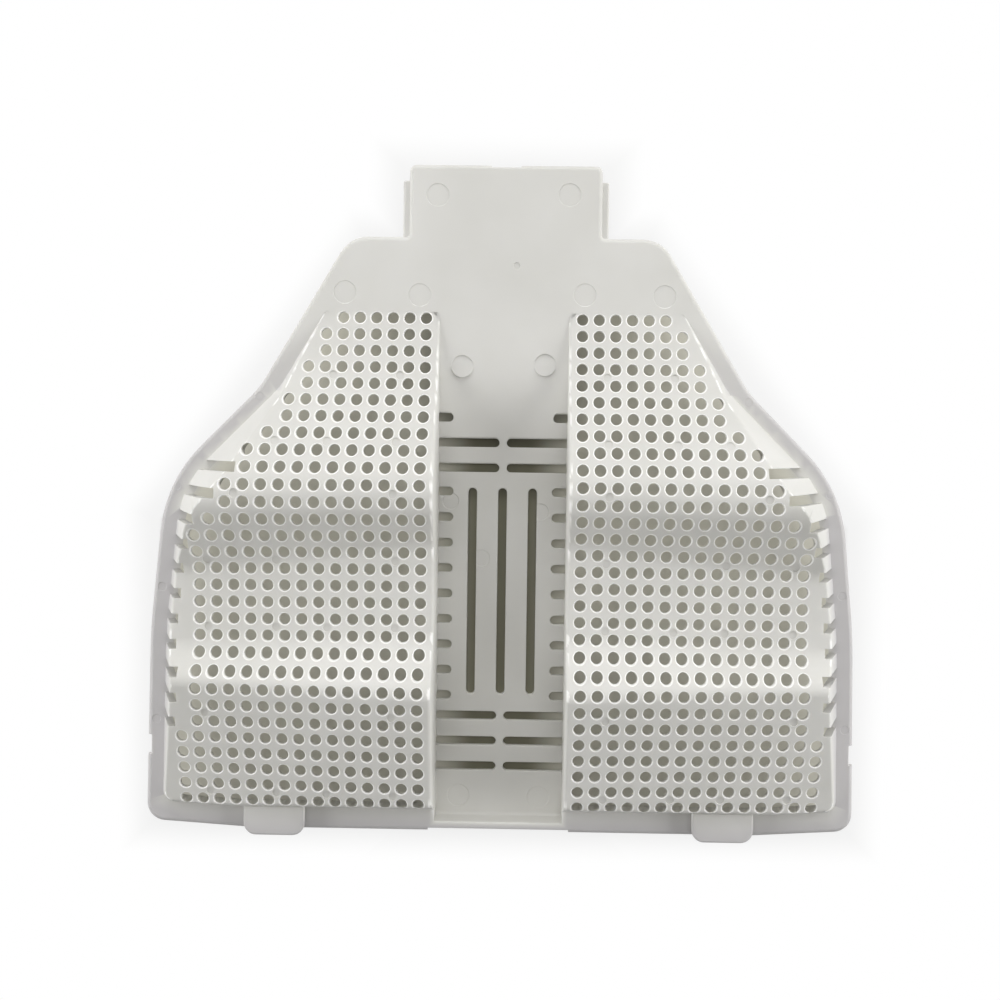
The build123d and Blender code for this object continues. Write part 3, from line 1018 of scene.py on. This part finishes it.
def soft_step(value, start, end, low=0.0, high=1.0):
    """Soft step from one value to another as a socket goes from start to end."""
    node = tree.nodes.new("ShaderNodeMapRange")
    node.interpolation_type = "SMOOTHSTEP"
    for name, number in (("From Min", start), ("From Max", end), ("To Min", low), ("To Max", high)):
        node.inputs[name].default_value = number
    tree.links.new(value, node.inputs["Value"])
    return node.outputs["Result"]


def mixed(factor, first, second):
    """Colour between a socket's and a given one."""
    node = tree.nodes.new("ShaderNodeMix")
    node.data_type = "RGBA"
    tree.links.new(factor, node.inputs["Factor"])
    tree.links.new(first, node.inputs["A"])
    node.inputs["B"].default_value = second
    return node.outputs["Result"]


cloudy = tree.nodes.new("ShaderNodeGroup")
cloudy.node_tree = grain_group
cloudy.inputs["Cloud scale"].default_value = 12.0
cloudy.inputs["Grain scale"].default_value = 900.0
under_wings = ramp(tree, cloudy, "Cloud", [(0.2, srgb(232, 230, 218)), (0.8, srgb(240, 238, 226))])
# Painted shade: a dark olive strip under the channel stands in for the shadow seen through the drain slots.
middle = soft_step(across, 0.020, 0.006)
under_tray_with_painted_shade = mixed(middle, under_wings.outputs["Color"], srgb(122, 120, 104))
table_tone = mixed(soft_step(outside, -0.006, 0.0), under_tray_with_painted_shade, srgb(208, 208, 206))
tree.links.new(table_tone, matte.inputs["Base Color"])
white = tree.nodes.new("ShaderNodeEmission")
white.inputs["Color"].default_value = (1, 1, 1, 1)
white.inputs["Strength"].default_value = 1.0
whiteness = maths("MULTIPLY", soft_step(outside, 0.0, SHADOW_WIDTH, SHADOW_WHITE), seen_rays(tree))
blend = tree.nodes.new("ShaderNodeMixShader")
tree.links.new(maths("MULTIPLY", whiteness, soft_step(outside, -0.004, 0.0)), blend.inputs["Fac"])
tree.links.new(matte.outputs["BSDF"], blend.inputs[1])
tree.links.new(white.outputs["Emission"], blend.inputs[2])
tree.links.new(blend.outputs["Shader"], tree.nodes["Material Output"].inputs["Surface"])
print("table material nodes:", len(tree.nodes))

# %% [markdown]
# ## Light
# The light is that of a product tent: broad panels low on both sides and behind, one above, and little from
# the front. That is why the walls and, helped by a painted highlight, the rims of the holes are brighter
# than the flat plate, and why the slopes that fall towards the front are darkest. The world is dim as a
# light and plain white to look at.

# %% World and lamps
scene = bpy.context.scene
world = bpy.data.worlds.new("studio")
scene.world = world
world.use_nodes = True
studio = world.node_tree
sky = studio.nodes["Background"]
sky.inputs["Color"].default_value = (1.0, 0.995, 0.98, 1)
sky.inputs["Strength"].default_value = 0.12
plain = studio.nodes.new("ShaderNodeBackground")
plain.inputs["Color"].default_value = (1, 1, 1, 1)
either = studio.nodes.new("ShaderNodeMixShader")
studio.links.new(seen_rays(studio), either.inputs["Fac"])
studio.links.new(sky.outputs["Background"], either.inputs[1])
studio.links.new(plain.outputs["Background"], either.inputs[2])
studio.links.new(either.outputs["Shader"], studio.nodes["World Output"].inputs["Surface"])


def panel(name, place, size, power):
    """Soft panel that faces the tray."""
    lamp = bpy.data.lights.new(name, "AREA")
    lamp.shape = "RECTANGLE"
    lamp.size, lamp.size_y = size
    lamp.energy = power
    thing = bpy.data.objects.new(name, lamp)
    thing.location = place
    thing.rotation_euler = Vector(place).to_track_quat("Z", "Y").to_euler()
    thing.visible_camera = False
    scene.collection.objects.link(thing)
    return thing


panels = [
    panel("panel_left", (-0.78, 0.06, 0.32), (0.8, 0.5), 4.7),
    panel("panel_right", (0.78, 0.06, 0.32), (0.8, 0.5), 5.3),
    panel("panel_back", (0.0, 0.80, 0.42), (0.9, 0.5), 3.9),
    panel("panel_above", (0.0, 0.25, 1.1), (0.7, 0.7), 2.7),
]
print("lamps:", [(p.name, p.data.energy) for p in panels])

# %% [markdown]
# ## Camera
# The photograph was taken from almost straight above. Its camera was worked out from the grid of holes,
# whose spacing shows how high each row stands, so position, tilt and lens below are measured.

# %% Camera
lens = bpy.data.cameras.new("camera")
lens.sensor_width = 36.0
lens.lens = 52.08
lens.clip_start = 0.01
camera = bpy.data.objects.new("camera", lens)
tilt = Vector((math.radians(2.090), math.radians(-1.006), math.radians(-0.780)))
to_camera = Matrix.Rotation(tilt.length, 3, tilt.normalized())
camera.matrix_world = Matrix.Translation((0.00556, 0.0135, 0.3588)) @ to_camera.transposed().to_4x4()
scene.collection.objects.link(camera)
scene.camera = camera
scene.view_settings.view_transform = "Standard"
print("camera at", [round(v, 4) for v in camera.matrix_world.translation])
